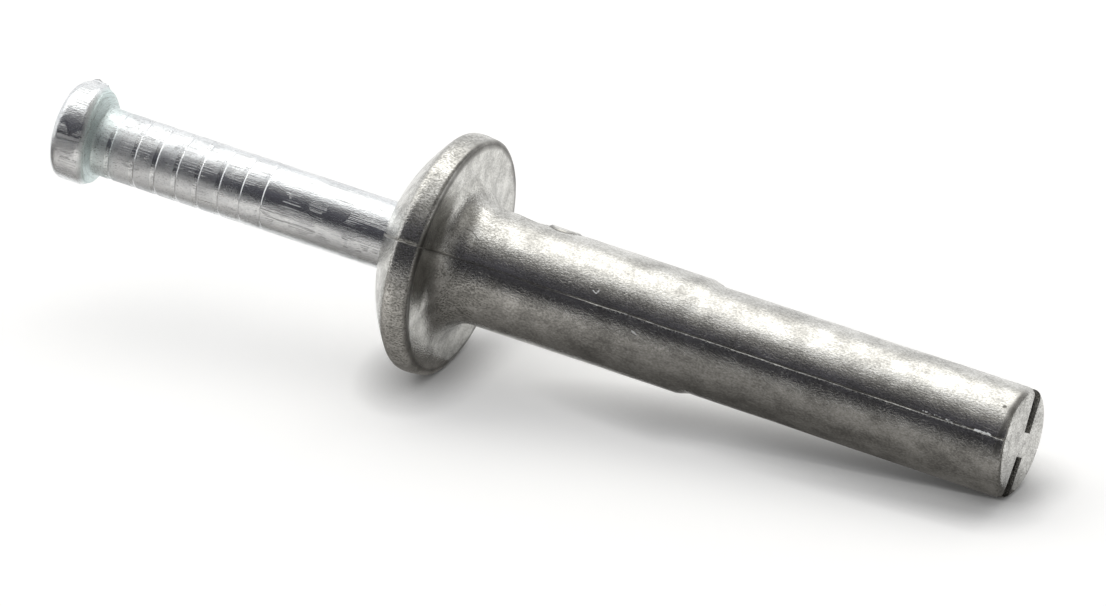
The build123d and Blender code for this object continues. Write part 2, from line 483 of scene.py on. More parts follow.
def body_relief(s, marks):
    """How far the body's skin stands out from its plain outline, at any point."""

    def relief(points):
        radius = np.hypot(points[..., 0], points[..., 1])
        height = points[..., 2]
        in_bore = (height < s.bore_end - 0.01 * MM) & (radius <= s.bore_radius + 0.05 * MM)
        from_seam = seam_distance(points, marks)
        on_shank = (radius < s.upper_radius + 0.3 * MM) & (height < s.body_length - 0.3 * MM)
        rough_line = 1 + 0.5 * waves(points, 0.35 * MM, 1.5, 5.3)
        groove = -marks.seam_depth * bump(from_seam + 0.03 * MM, marks.seam_width) * rough_line
        rib_start = rise(height, 6.5 * MM, 8.5 * MM) * on_shank
        rib = marks.seam_ridge * bump(from_seam - 0.05 * MM, 0.06 * MM) * rib_start
        rib = rib * (0.5 + 0.9 * waves(points, 1.1 * MM, 1.5, 6.1)) * rough_line
        on_face = (height > s.body_length - 0.1 * MM) & (radius < s.tip_radius - s.tip_round)
        web = 1.4 * marks.seam_ridge * bump(from_seam, 0.09 * MM) * rough_line
        on_band = (height < -0.25 * MM) & (radius > 6.15 * MM)
        notch = -0.025 * MM * rise(-np.abs(from_seam + 0.08 * MM), -0.12 * MM, -0.02 * MM) * on_band
        depth = np.where(on_shank, 0.25 + 0.35 * rise(height, 6 * MM, 8 * MM), 1.3)
        seam = np.where(on_face, web, groove * depth + rib + notch)
        seam = seam * np.where(on_face, 1, rise(radius, 0.3 * MM, 0.9 * MM))
        from_crease = np.hypot(radius - s.crease_radius, height)
        crease = -marks.crease_depth * bump(from_crease, marks.crease_width)
        crease = crease * (0.7 + 0.5 * waves(points, 1.4 * MM, 1, 8.8))
        swell = marks.swell * (waves(points, 2.2 * MM, 1.8, 1.7) - 0.8)
        ripple = marks.ripple * (waves(points, 0.55 * MM, 1.3, 9.2) - 0.8)
        from_pad = np.hypot(turn_from(points, -math.pi / 2) * radius, height - marks.pad_place)
        pad = marks.pad_height * rise(-from_pad, -marks.pad_radius, 0.07 * MM - marks.pad_radius)
        pad = pad - 0.8 * marks.pad_height * bump(from_pad - marks.pad_radius - 0.05 * MM, 0.06 * MM)
        pad = np.where(points[..., 1] < 0, pad, 0)
        hollow = hollow_relief(points, s, marks)
        plain = swell + ripple + crease + fuller_tip(points, s)
        return np.where(in_bore, 0, seam + plain + pad + hollow + oval_relief(points, s))

    return relief


# The slots were cored a little behind the seams, and each leans from its radius.
SLOT_SHIFT = -0.3 * MM
SLOT_LEAN = 0.07


def slot_cutter(name, side, s):
    """The blade that cuts one slot, flared where it meets the skin and the end face."""
    edge = 0.05 * MM
    draft = math.tan(math.radians(2.5))
    outside = s.upper_radius + 0.6 * MM
    skin = s.tip_radius - 0.02 * MM
    walls = [s.web_half_width, 1.2 * MM, 1.9 * MM, 2.4 * MM, skin - 2 * edge]
    walls += [skin - edge + edge * math.sin(a) for a in (0, 0.5, 0.9, 1.2, math.pi / 2)]
    walls.append(outside)
    starts = [s.slot_start + (s.body_length - s.slot_start) * part / 30 for part in range(30)]
    ends = [s.body_length - edge + edge * math.sin(a) for a in (0, 0.5, 0.9, 1.2, math.pi / 2)]
    levels = starts + ends + [s.body_length + 0.5 * MM]

    def flare(depth):
        inside = min(max(edge - depth, 0), edge)
        return edge - math.sqrt(edge ** 2 - inside ** 2)

    rings = []
    for level in levels:
        at_end = flare(s.body_length - level)
        right = []
        left = []
        for wall in walls:
            depth = wall - s.web_half_width
            width = s.slot_half_width + depth * draft
            wobble = 0.02 * MM * noise.noise(Vector((level / MM, wall / MM * 0.9, side)))
            shift = at_end if wall == walls[0] else 0
            width += max(at_end, flare(skin - wall)) + wobble
            middle = SLOT_SHIFT + SLOT_LEAN * depth
            right.append((middle + width, side * (wall - shift)))
            left.insert(0, (middle - width, side * (wall - shift)))
        rings.append([(x, y, level) for x, y in right + left])
    count = len(rings[0])
    vertices = [point for ring in rings for point in ring]
    faces = []
    for level in range(len(rings) - 1):
        for this in range(count):
            after = (this + 1) % count
            low, high = level * count, (level + 1) * count
            faces.append([low + this, low + after, high + after, high + this])
    faces.append(list(range(count))[::-1])
    faces.append([(len(rings) - 1) * count + this for this in range(count)])
    if side < 0:
        faces = [face[::-1] for face in faces]
    return add_piece(name, vertices, faces)


def carve(piece, cutters):
    """Cut the cutters out of the piece and delete them."""
    for cutter in cutters:
        cut = piece.modifiers.new("cut", "BOOLEAN")
        cut.operation = "DIFFERENCE"
        cut.solver = "EXACT"
        cut.object = cutter
    bpy.context.view_layer.update()
    graph = bpy.context.evaluated_depsgraph_get()
    result = bpy.data.meshes.new_from_object(piece.evaluated_get(graph))
    if not result.polygons:
        raise RuntimeError(f"cutting {piece.name} left nothing")
    piece.modifiers.clear()
    old = piece.data
    piece.data = result
    bpy.data.meshes.remove(old)
    result.name = piece.name
    for cutter in cutters:
        blade = cutter.data
        bpy.data.objects.remove(cutter)
        bpy.data.meshes.remove(blade)


def pitted_skin(points, s):
    """1 where the casting is most pitted: on the rim's band, at the neck and on the end face."""
    radius = np.hypot(points[:, 0], points[:, 1])
    height = points[:, 2]
    band = rise(-height, 0, 0.15 * MM) * rise(radius, 5.85 * MM, 6.1 * MM)
    neck = rise(height, 0.05 * MM, 0.4 * MM) * rise(-height, -4 * MM, -1.8 * MM)
    end_face = 0.7 * rise(height, s.body_length - 0.15 * MM, s.body_length - 0.05 * MM)
    return np.maximum(np.maximum(0.9 * band, 0.7 * neck), np.maximum(end_face, 0.12))


def make_body(s, marks):
    """The cast body's mesh, with its seams, slots, bore and marks."""
    vertices, faces = lathe(body_outline(s), body_angles(), body_relief(s, marks))
    piece = add_piece("cast_body", vertices, faces)
    carve(piece, [slot_cutter("upper_blade", -1, s), slot_cutter("lower_blade", 1, s)])
    smooth(piece, math.radians(50))
    points = local_points(piece.data)
    radius = np.hypot(points[:, 0], points[:, 1])
    # Dark lines for the "seam" attribute: the parting seam, the crease, the ring round the ejector's mark
    # and a faint line at the band's edge towards the dome are the die's lines. The crease line is also
    # made wider and darker near the seams and on the band's upper side (-Y), which is painted shade
    # standing in for dark reflections there.
    aside = 0.045 * MM * rise(points[:, 2], 6 * MM, 8 * MM)
    seam = 0.9 * bump(seam_distance(points, marks) + aside, 0.05 * MM)
    seam *= (radius > 0.8 * MM) & (points[:, 2] < s.body_length - 0.1 * MM)
    from_crease = np.hypot(radius - s.crease_radius, points[:, 2])
    uneven_width = 1.4 + 0.8 * waves(points, 1.1 * MM, 1, 4.4)
    near_seam = np.exp(-(seam_distance(points, marks) / (3.2 * MM)) ** 2)
    upper_band = rise(-points[:, 1], 3.2 * MM, 5.4 * MM) * (radius > s.crease_radius)
    spread = uneven_width + near_seam + 2.6 * upper_band
    strength = 0.75 + 0.25 * np.maximum(near_seam, upper_band)
    crease = strength * bump(from_crease / spread, marks.crease_width)
    band_edge = np.hypot(radius - s.flange_radius, points[:, 2] + 1.27 * MM)
    crease = np.maximum(crease, 0.35 * bump(band_edge / uneven_width, 0.06 * MM))
    from_pad = np.hypot(turn_from(points, -math.pi / 2) * radius, points[:, 2] - marks.pad_place)
    pad_edge = bump(from_pad - marks.pad_radius - 0.04 * MM, 0.07 * MM) * (points[:, 1] < 0)
    # Painted shade: a dark line where the tip's rounding starts, on the near side only, standing in for a
    # dark reflection.
    from_edge = np.hypot(radius - s.tip_radius, points[:, 2] - s.body_length + 0.22 * MM)
    on_near_side = rise(points[:, 0], 0.4 * MM, 1.6 * MM) * rise(-points[:, 1], -1.2 * MM, -0.4 * MM)
    painted_tip_shade = 0.8 * bump(from_edge / uneven_width, 0.13 * MM) * on_near_side
    joint_lines_and_painted_shade = np.maximum(np.maximum(seam, crease), np.maximum(pad_edge, painted_tip_shade))
    stamp(piece.data, "seam", joint_lines_and_painted_shade)
    stamp(piece.data, "pitted", pitted_skin(points, s))
    flash = bump(seam_distance(points, marks) - 0.05 * MM, 0.06 * MM)
    stamp(piece.data, "flash", flash * rise(points[:, 2], 7 * MM, 10 * MM) * (radius > 2.6 * MM))
    # Painted shade: marks the bore and the slots, which the material darkens as recesses.
    inside = (radius < s.bore_radius + 0.02 * MM) & (points[:, 2] < s.bore_end + 0.02 * MM)
    middle = SLOT_SHIFT + SLOT_LEAN * (np.abs(points[:, 1]) - s.web_half_width)
    in_slot = (np.abs(points[:, 0] - middle) < 0.55 * MM) & (radius < s.tip_radius - 0.08 * MM)
    in_slot &= (points[:, 2] > s.slot_start - 0.05 * MM) & (points[:, 2] < s.body_length - 0.08 * MM)
    stamp(piece.data, "inside", (inside | in_slot).astype(float))
    return piece


# ------------------------------------------------------------------ the nail's shape
def ring_places(s):
    """z of the deepest line of each ring groove."""
    first = s.collar_end + s.ring_first
    apart = [s.ring_apart if number else 0 for number in range(s.ring_count)]
    return [first + gap + number * s.ring_pitch for number, gap in enumerate(apart)]


def head_underside(s):
    """z of the underside of the head, where the collar's shoulder starts."""
    return s.collar_end - s.collar_cone - s.collar_shoulder


def nail_outline(s):
    """Section of the nail, from the middle of its head to its point."""
    fine, coarse = 0.06 * MM, 0.2 * MM
    shoulder_end = s.collar_end - s.collar_cone
    underside = head_underside(s)
    top = underside - s.head_thickness
    top_edge = s.head_radius - s.head_top_round
    crown_radius = (top_edge ** 2 + s.head_crown ** 2) / (2 * s.head_crown)
    crown_centre = top - s.head_crown + crown_radius
    crown_end = -math.acos(top_edge / crown_radius)
    crown = arc((0, crown_centre), crown_radius, -math.pi / 2, crown_end, 0.1 * MM)
    struck = arc((top_edge, top + s.head_top_round), s.head_top_round, -math.pi / 2, 0, fine)
    corners = [
        struck[-1] + (0,),
        (s.head_radius, underside - s.head_low_bevel + 0.04 * MM, 0.12 * MM),
        (s.collar_radius + 0.03 * MM, underside + 0.04 * MM, 0.16 * MM),
        (s.collar_radius - 0.02 * MM, shoulder_end, s.collar_blend),
        (s.radius, s.collar_end, s.collar_blend),
    ]
    for deepest in ring_places(s):
        corners.append((s.radius, deepest - s.ring_lead, 0.1 * MM))
        corners.append((s.radius - s.ring_depth, deepest, 0.02 * MM))
        corners.append((s.radius, deepest + s.ring_rise, 0.04 * MM))
    corners += [
        (s.radius, s.point_end - s.point_length, 0.3 * MM),
        (s.point_flat, s.point_end, 0.1 * MM),
        (0, s.point_end, 0),
    ]
    return crown + struck[1:-1] + divided(rounded(corners, fine), coarse)


def nail_relief(s):
    """How far the nail's skin stands out from its plain outline, at any point."""

    def relief(points):
        burr = 0.2 * MM * burr_shape(points, s)
        swell = 0.006 * MM * (waves(points, 1.6 * MM, 3, 21.4) - 0.8)
        ripple = 0.0015 * MM * (waves(points, 0.4 * MM, 2, 33.3) - 0.8)
        return swell + ripple + burr

    return relief


def burr_shape(points, s):
    """A torn lump on the head's struck edge, with a low ridge running off it."""
    top = head_underside(s) - s.head_thickness
    radius = np.hypot(points[..., 0], points[..., 1])
    around = turn_from(points, math.radians(-91.5)) * radius
    along = points[..., 2] - top
    on_rim = rise(radius, 0.75 * s.head_radius, 0.9 * s.head_radius)
    lump = bump(np.hypot(around, 0.8 * (along - 0.62 * MM)), 0.16 * MM)
    ridge = 0.4 * bump(around, 0.09 * MM) * rise(along, 0.6 * MM, 0.7 * MM)
    ridge = ridge * rise(-along, -1.4 * MM, -1.1 * MM)
    return np.maximum(lump, ridge) * on_rim


def uneven_head(points, s):
    """How far the head's underside is pressed down the shank, most between +X and +Y."""
    underside = head_underside(s)
    struck_end = underside - s.head_thickness + 0.4 * MM
    along = points[:, 2]
    down_rim = np.clip((along - struck_end) / (underside - struck_end), 0, 1)
    down_cone = np.clip((s.collar_end - along) / (s.collar_end - underside), 0, 1)
    side = 0.5 + 0.5 * np.cos(turn_from(points, math.radians(35)))
    return s.head_press * side * np.minimum(down_rim, down_cone)


def make_nail(s):
    """The nail's mesh, with its head a little off the axis."""
    angles = [math.tau * step / 240 for step in range(240)]
    vertices, faces = lathe(nail_outline(s), angles, nail_relief(s))
    burr = burr_shape(vertices, s)
    shoulder_end = s.collar_end - s.collar_cone
    underside = head_underside(s)
    shank = rise(vertices[:, 2], underside - 0.08 * MM, underside + 0.08 * MM)
    under_head = rise(-vertices[:, 2], -s.collar_end, s.collar_shoulder - shoulder_end)
    vertices[:, 1] -= s.head_offset * under_head
    vertices[:, 2] += uneven_head(vertices, s)
    down = LYING.to_3x3().inverted() @ Vector((0, 0, -1))
    down = Vector((down.x, down.y, 0)).normalized()
    vertices[:, 0] += s.drop * down.x
    vertices[:, 1] += s.drop * down.y
    piece = add_piece("plated_nail", vertices, faces)
    smooth(piece, math.radians(50))
    points = local_points(piece.data)
    walls = np.zeros(len(points))
    for deepest in ring_places(s):
        inside = (points[:, 2] > deepest - s.ring_lead) & (points[:, 2] < deepest + s.ring_rise)
        walls = np.maximum(walls, inside)
    stamp(piece.data, "ring", walls)
    stamp(piece.data, "burr", burr)
    stamp(piece.data, "shank", shank)
    return piece


# ------------------------------------------------------------------ shader nodes
def add_node(tree, kind, settings=None, **inputs):
    """A node with its settings and inputs; an input is a value or another's output."""
    made = tree.nodes.new(kind)
    for key, value in (settings or {}).items():
        setattr(made, key, value)
    for key, value in inputs.items():
        socket = made.inputs[int(key[1:])] if key[0] == "n" and key[1:].isdigit() else made.inputs[key]
        if isinstance(value, bpy.types.NodeSocket):
            tree.links.new(value, socket)
        else:
            socket.default_value = value
    return made


def reckon(tree, operation, *values):
    """A Math node's output."""
    inputs = {f"n{place}": value for place, value in enumerate(values)}
    return add_node(tree, "ShaderNodeMath", {"operation": operation}, **inputs).outputs[0]


def times(tree, first, second):
    """The product of two numbers."""
    return reckon(tree, "MULTIPLY", first, second)


def stamped(tree, name):
    """The number that stamp() keeps at each vertex under this name."""
    return add_node(tree, "ShaderNodeAttribute", {"attribute_name": name}).outputs["Fac"]


def blend_colours(tree, kind, part, first, second):
    """A Mix node's colour output."""
    made = tree.nodes.new("ShaderNodeMix")
    made.data_type = "RGBA"
    made.blend_type = kind
    for place, value in ((0, part), (6, first), (7, second)):
        socket = made.inputs[place]
        if isinstance(value, bpy.types.NodeSocket):
            tree.links.new(value, socket)
        else:
            socket.default_value = value
    return made.outputs[2]


def scaled(tree, value, from_low, from_high, to_low, to_high):
    """A Map Range node's output."""
    made = tree.nodes.new("ShaderNodeMapRange")
    made.clamp = True
    tree.links.new(value, made.inputs[0])
    for place, number in enumerate((from_low, from_high, to_low, to_high), start=1):
        made.inputs[place].default_value = number
    return made.outputs[0]


def new_group(name, vectors, numbers, outputs):
    """A shader group with its sockets, and the sockets of its two ends as seen inside it."""
    group = bpy.data.node_groups.new(name, "ShaderNodeTree")
    for label in vectors:
        group.interface.new_socket(name=label, in_out="INPUT", socket_type="NodeSocketVector")
    for label in numbers:
        group.interface.new_socket(name=label, in_out="INPUT", socket_type="NodeSocketFloat")
    for label in outputs:
        group.interface.new_socket(name=label, in_out="OUTPUT", socket_type="NodeSocketFloat")
    given = group.nodes.new("NodeGroupInput").outputs
    result = group.nodes.new("NodeGroupOutput").inputs
    return group, given, result


def metal_skin_group():
    """Clouds, grain and height of a worked metal skin, shared by both metals."""
    numbers = ("Cloud Size", "Grain Size", "Stretch")
    outputs = ("Clouds", "Grain", "Specks", "Height")
    group, given, result = new_group("metal_skin", ("Position",), numbers, outputs)
    apart = add_node(group, "ShaderNodeSeparateXYZ", n0=given["Position"]).outputs
    along = reckon(group, "DIVIDE", apart[2], given["Stretch"])
    spot = add_node(group, "ShaderNodeCombineXYZ", n0=apart[0], n1=apart[1], n2=along).outputs[0]

    def field(size, detail, roughness, shift):
        moved = add_node(
            group, "ShaderNodeVectorMath", {"operation": "ADD"}, n0=spot, n1=(shift, shift, shift)
        ).outputs[0]
        scale = reckon(group, "DIVIDE", 1 / MM, size)
        made = add_node(group, "ShaderNodeTexNoise", Vector=moved, Scale=scale)
        made.inputs["Detail"].default_value = detail
        made.inputs["Roughness"].default_value = roughness
        return made.outputs[0]

    clouds = field(given["Cloud Size"], 5, 0.62, 0.1)
    grain = field(given["Grain Size"], 3, 0.6, 0.4)
    specks = field(times(group, given["Grain Size"], 0.6), 2, 0.5, 0.7)
    sharp_specks = scaled(group, specks, 0.55, 0.75, 0, 1)
    height = times(group, clouds, 0.15)
    height = reckon(group, "MULTIPLY_ADD", grain, 0.6, height)
    height = reckon(group, "MULTIPLY_ADD", specks, 0.25, height)
    group.links.new(clouds, result["Clouds"])
    group.links.new(grain, result["Grain"])
    group.links.new(sharp_specks, result["Specks"])
    group.links.new(height, result["Height"])
    return group


def hairline_group():
    """Fine lines along one way, in patches, shared by both metals."""
    group, given, result = new_group("hairlines", ("Position", "Scale"), ("Share",), ("Lines",))
    spot = add_node(
        group,
        "ShaderNodeVectorMath",
        {"operation": "MULTIPLY"},
        n0=given["Position"],
        n1=given["Scale"],
    ).outputs[0]
    fine = add_node(group, "ShaderNodeTexNoise", Vector=spot, Scale=1.0, Detail=2.0).outputs[0]
    distance = reckon(group, "ABSOLUTE", reckon(group, "SUBTRACT", fine, 0.5))
    lines = scaled(group, distance, 0.0, 0.022, 1, 0)
    patches = add_node(
        group, "ShaderNodeTexNoise", Vector=given["Position"], Scale=0.9 / MM, Detail=2.0
    ).outputs[0]
    shown = reckon(group, "GREATER_THAN", given["Share"], patches)
    group.links.new(times(group, lines, shown), result["Lines"])
    return group


def scar_group():
    """1 on a short straight mark in the skin and 0 off it; it is ragged at its edge.

    Radius is that of the round skin on which Start and End lie.
    """
    vectors = ("Position", "Start", "End")
    group, given, result = new_group("scar", vectors, ("Radius", "Width"), ("Mask",))

    def vector(operation, *values, **named):
        inputs = {f"n{place}": value for place, value in enumerate(values)}
        made = add_node(group, "ShaderNodeVectorMath", {"operation": operation}, **inputs, **named)
        return made.outputs

    flat = vector("MULTIPLY", given["Position"], (1, 1, 0))[0]
    out = vector("SCALE", vector("NORMALIZE", flat)[0], Scale=given["Radius"])[0]
    height = vector("MULTIPLY", given["Position"], (0, 0, 1))[0]
    from_start = vector("SUBTRACT", vector("ADD", out, height)[0], given["Start"])[0]
    way = vector("SUBTRACT", given["End"], given["Start"])[0]
    covered = vector("DOT_PRODUCT", from_start, way)["Value"]
    whole = vector("DOT_PRODUCT", way, way)["Value"]
    part = add_node(
        group, "ShaderNodeMath", {"operation": "DIVIDE", "use_clamp": True}, n0=covered, n1=whole
    ).outputs[0]
    nearest = vector("SCALE", way, Scale=part)[0]
    away = vector("LENGTH", vector("SUBTRACT", from_start, nearest)[0])["Value"]
    ragged = add_node(
        group, "ShaderNodeTexNoise", Vector=given["Position"], Scale=9 / MM, Detail=2.0
    ).outputs[0]
    reach = times(group, given["Width"], scaled(group, ragged, 0.3, 0.7, 0.5, 1.6))
    mask = scaled(group, reckon(group, "DIVIDE", away, reach), 0.6, 1.1, 1, 0)
    group.links.new(mask, result["Mask"])
    return group


def scar(tree, position, start, end, width):
    """Mask of a mark between two places on the shank, each (mm down it, degrees round it)."""
    radius = 3 * MM
    ends = []
    for down, round_by in (start, end):
        turn = math.radians(round_by)
        ends.append((radius * math.cos(turn), radius * math.sin(turn), down * MM))
    values = {"Start": ends[0], "End": ends[1], "Radius": radius, "Width": width}
    return put_group(tree, shared("scar"), position, **values)["Mask"]


def most(tree, masks):
    """The greatest of several masks."""
    made = masks[0]
    for mask in masks[1:]:
        made = reckon(tree, "MAXIMUM", made, mask)
    return made


def shared(name):
    """A shader group by name, made the first time that it is asked for."""
    makers = {"metal_skin": metal_skin_group, "hairlines": hairline_group, "scar": scar_group}
    return bpy.data.node_groups.get(name) or makers[name]()


def put_group(tree, group, position, **values):
    """A group node with its position and other inputs set."""
    made = tree.nodes.new("ShaderNodeGroup")
    made.node_tree = group
    tree.links.new(position, made.inputs["Position"])
    for name, value in values.items():
        made.inputs[name.replace("_", " ")].default_value = value
    return made.outputs


def new_material(name):
    """A material with a plain Principled shader, and its tree and shader."""
    made = bpy.data.materials.new(name)
    made.use_nodes = True
    shader = next(n for n in made.node_tree.nodes if n.type == "BSDF_PRINCIPLED")
    return made, made.node_tree, shader


def own_position(tree):
    """The shaded point in the anchor's own axes, as it was before it was laid down."""
    back = LYING.inverted()
    spot = tree.nodes.new("ShaderNodeTexCoord").outputs["Object"]
    turned = add_node(tree, "ShaderNodeMapping", Vector=spot)
    turned.inputs["Location"].default_value = back.translation
    turned.inputs["Rotation"].default_value = back.to_euler()
    return turned.outputs[0]


def four(values):
    """A colour with alpha 1."""
    return (*values, 1)


def cast_zinc(finishes):
    """Dull, cloudy cast zinc with dark seams, pits and cracks, and with painted shade in its bore, slots,
    crease and at its tip's near edge.
    """
    made, tree, shader = new_material("cast_zinc")
    position = own_position(tree)
    look = put_group(
        tree, shared("metal_skin"), position, Cloud_Size=1.1, Grain_Size=0.09, Stretch=1.5
    )
    scratch = put_group(
        tree, shared("hairlines"), position, Scale=(900, 2200, 260), Share=0.44
    )
    clouds = scaled(tree, look["Clouds"], 0.35, 0.65, 0, 1)
    metal = blend_colours(tree, "MIX", clouds, four(finishes.zinc_dark), four(finishes.zinc_light))
    fleck = scaled(tree, look["Grain"], 0.35, 0.65, 0, 1)
    metal = blend_colours(tree, "OVERLAY", 0.25, metal, fleck)
    # The "seam" attribute holds the die's joint lines together with the painted shade along the crease
    # and the tip's near edge.
    seam = stamped(tree, "seam")
    inside = stamped(tree, "inside")
    grime_and_shade_mask = times(tree, seam, scaled(tree, look["Grain"], 0.3, 0.6, 0.65, 1.0))
    # Painted shade: the bore and the slots are darkened 0.7 of the way to the dark colour.
    grime_and_shade_mask = reckon(tree, "MAXIMUM", grime_and_shade_mask, times(tree, inside, 0.7))
    neck_crack = scar(tree, position, (0.75, -28.6), (1.05, -29.6), 0.035 * MM)
    crack_end = scar(tree, position, (1.05, -29.6), (1.65, -23.0), 0.035 * MM)
    tip_pit = scar(tree, position, (30.98, -33.8), (31.0, -33.6), 0.11 * MM)
    crack = times(tree, most(tree, [neck_crack, crack_end]), 0.6)
    grime_and_shade_mask = most(tree, [grime_and_shade_mask, crack, times(tree, tip_pit, 0.75)])
    pitted = stamped(tree, "pitted")
    pits = most(tree, [look["Specks"], scaled(tree, look["Grain"], 0.34, 0.56, 1, 0)])
    pits = times(tree, times(tree, pits, pitted), 0.5)
    grime_and_shade_mask = reckon(tree, "MAXIMUM", grime_and_shade_mask, pits)
    dent = scar(tree, position, (8.35, -11.9), (8.56, -10.1), 0.03 * MM)
    dent_side = scar(tree, position, (8.56, -10.1), (8.64, -14.3), 0.03 * MM)
    nick = scar(tree, position, (11.0, 13.2), (11.25, 15.4), 0.04 * MM)
    long_scratch = scar(tree, position, (30.0, -1.0), (30.85, -1.3), 0.05 * MM)
    first_fleck = scar(tree, position, (27.1, -2.8), (27.45, -1.8), 0.045 * MM)
    second_fleck = scar(tree, position, (27.75, -2.4), (28.05, -1.4), 0.04 * MM)
    third_fleck = scar(tree, position, (28.4, -1.8), (28.75, -1.0), 0.045 * MM)
    fourth_fleck = scar(tree, position, (29.1, -1.4), (29.5, -0.8), 0.03 * MM)
    flecks = most(tree, [first_fleck, second_fleck, third_fleck, fourth_fleck])
    flash = stamped(tree, "flash")
    broken = scaled(tree, look["Grain"], 0.47, 0.6, 0, 0.35)
    flash = times(tree, flash, broken)
    flecks = times(tree, flecks, scaled(tree, look["Grain"], 0.42, 0.56, 0, 0.8))
    torn = most(tree, [flecks, long_scratch, times(tree, nick, 0.7)])
    bare = most(tree, [dent, dent_side, flash, torn])
    # Mixes in the dark colour: real cracks, pits and seams, and the painted shade.
    metal = blend_colours(tree, "MIX", grime_and_shade_mask, metal, four(finishes.grime_and_painted_shade))
    metal = blend_colours(tree, "MIX", bare, metal, four(finishes.plate_light))
    tree.links.new(metal, shader.inputs["Base Color"])
    metallic = reckon(tree, "MULTIPLY_ADD", torn, -0.7, 1.0)
    tree.links.new(metallic, shader.inputs["Metallic"])
    rough = scaled(tree, look["Clouds"], 0.3, 0.7, 0.25, 0.11)
    rough = reckon(tree, "MULTIPLY_ADD", grime_and_shade_mask, 0.3, rough)
    rough = reckon(tree, "MULTIPLY_ADD", pitted, 0.05, rough)
    rough = reckon(tree, "MULTIPLY_ADD", bare, 0.35, rough)
    tree.links.new(rough, shader.inputs["Roughness"])
    along = add_node(tree, "ShaderNodeSeparateXYZ", n0=position).outputs[2]
    shank_lines = times(tree, scratch["Lines"], scaled(tree, along, 1 * MM, 3 * MM, 0, -0.12))
    height = reckon(tree, "ADD", shank_lines, look["Height"])
    bumped = add_node(tree, "ShaderNodeBump", Height=height)
    bumped.inputs["Strength"].default_value = 1
    bumped.inputs["Distance"].default_value = 0.024 * MM
    tree.links.new(bumped.outputs[0], shader.inputs["Normal"])
    return made


def plated_steel(finishes, s):
    """Bright zinc plating, scuffed where it was gripped, with a film round the collar."""
    made, tree, shader = new_material("zinc_plated_steel")
    position = own_position(tree)
    look = put_group(
        tree, shared("metal_skin"), position, Cloud_Size=0.7, Grain_Size=0.07, Stretch=2.5
    )
    drawn = put_group(
        tree, shared("hairlines"), position, Scale=(9000, 9000, 110), Share=0.5
    )
    turned = put_group(
        tree, shared("hairlines"), position, Scale=(250, 250, 9000), Share=0.62
    )
    along = add_node(tree, "ShaderNodeSeparateXYZ", n0=position).outputs[2]
    collar_start = head_underside(s)
    last_ring = ring_places(s)[-1]
    near_head = scaled(tree, along, last_ring + 0.5 * MM, s.collar_end, 0, 1)
    shank = stamped(tree, "shank")
    near_head = times(tree, near_head, scaled(tree, shank, 0, 1, 0.1, 1))
    at_collar = scaled(tree, along, s.collar_end + 1.2 * MM, s.collar_end + 0.1 * MM, 0, 1)
    clouds = scaled(tree, look["Clouds"], 0.35, 0.65, 0, 1)
    metal = blend_colours(tree, "MIX", clouds, four(finishes.plate_dark), four(finishes.plate_light))
    fleck = scaled(tree, look["Grain"], 0.35, 0.65, 0, 1)
    metal = blend_colours(tree, "OVERLAY", 0.15, metal, fleck)
    film = scaled(tree, along, s.collar_end + 1.5 * MM, collar_start + 0.6 * MM, 0, 0.8)
    film = times(tree, film, shank)
    metal = blend_colours(tree, "MIX", film, metal, four(finishes.plate_tint))
    lines = times(tree, turned["Lines"], times(tree, at_collar, shank))
    lines = reckon(tree, "MAXIMUM", drawn["Lines"], lines)
    metal = blend_colours(tree, "MIX", times(tree, lines, 0.4), metal, four(finishes.grime_and_painted_shade))
    pitted = times(tree, look["Specks"], scaled(tree, near_head, 0, 1, 0.3, 0.8))
    burr = stamped(tree, "burr")
    pitted = reckon(tree, "MULTIPLY_ADD", scaled(tree, burr, 0.25, 0.7, 0, 1), 0.6, pitted)
    metal = blend_colours(tree, "MIX", pitted, metal, four(finishes.grime_and_painted_shade))
    tree.links.new(metal, shader.inputs["Base Color"])
    shader.inputs["Metallic"].default_value = 1
    ring = stamped(tree, "ring")
    between = times(tree, near_head, reckon(tree, "SUBTRACT", 1.0, ring))
    rough = scaled(tree, look["Clouds"], 0.3, 0.7, 0.27, 0.15)
    rough = reckon(tree, "MULTIPLY_ADD", between, 0.27, rough)
    tree.links.new(rough, shader.inputs["Roughness"])
    height = reckon(tree, "MULTIPLY_ADD", lines, -0.3, look["Height"])
    bumped = add_node(tree, "ShaderNodeBump", Height=height)
    bumped.inputs["Strength"].default_value = 1
    bumped.inputs["Distance"].default_value = 0.02 * MM
    tree.links.new(bumped.outputs[0], shader.inputs["Normal"])
    return made


# ------------------------------------------------------------------ stage
def direction(azimuth, elevation):
    """Unit vector; azimuth 0 points along -Y and 90 degrees along +X."""
    return Vector(
        (
            math.sin(azimuth) * math.cos(elevation),
            -math.cos(azimuth) * math.cos(elevation),
            math.sin(elevation),
        )
    )


def make_camera():
    """A long lens, looking down at the anchor from its tip's side."""
    back = direction(math.radians(26.5), math.radians(27.1))
    distance = 1.3
    view_width = 56.0 * MM
    data = bpy.data.cameras.new("camera")
    data.sensor_width = 36
    data.lens = data.sensor_width * distance / view_width
    data.clip_start, data.clip_end = 0.05, 10
    camera = bpy.data.objects.new("camera", data)
    bpy.context.scene.collection.objects.link(camera)
    turn = (-back).to_track_quat("-Z", "Y")
    right, up = turn @ Vector((1, 0, 0)), turn @ Vector((0, 1, 0))
    aim = LYING.translation + right * 4.6 * MM - up * 2.25 * MM
    camera.rotation_mode = "QUATERNION"
    camera.rotation_quaternion = turn
    camera.location = aim + back * distance
    bpy.context.scene.camera = camera
    return camera


def seen_directly(tree):
    """1 where the camera looks, by itself or in a gloss or through a glass, else 0."""
    path = tree.nodes.new("ShaderNodeLightPath").outputs
    seen = reckon(tree, "MAXIMUM", path["Is Camera Ray"], path["Is Glossy Ray"])
    return reckon(tree, "MAXIMUM", seen, path["Is Transmission Ray"])


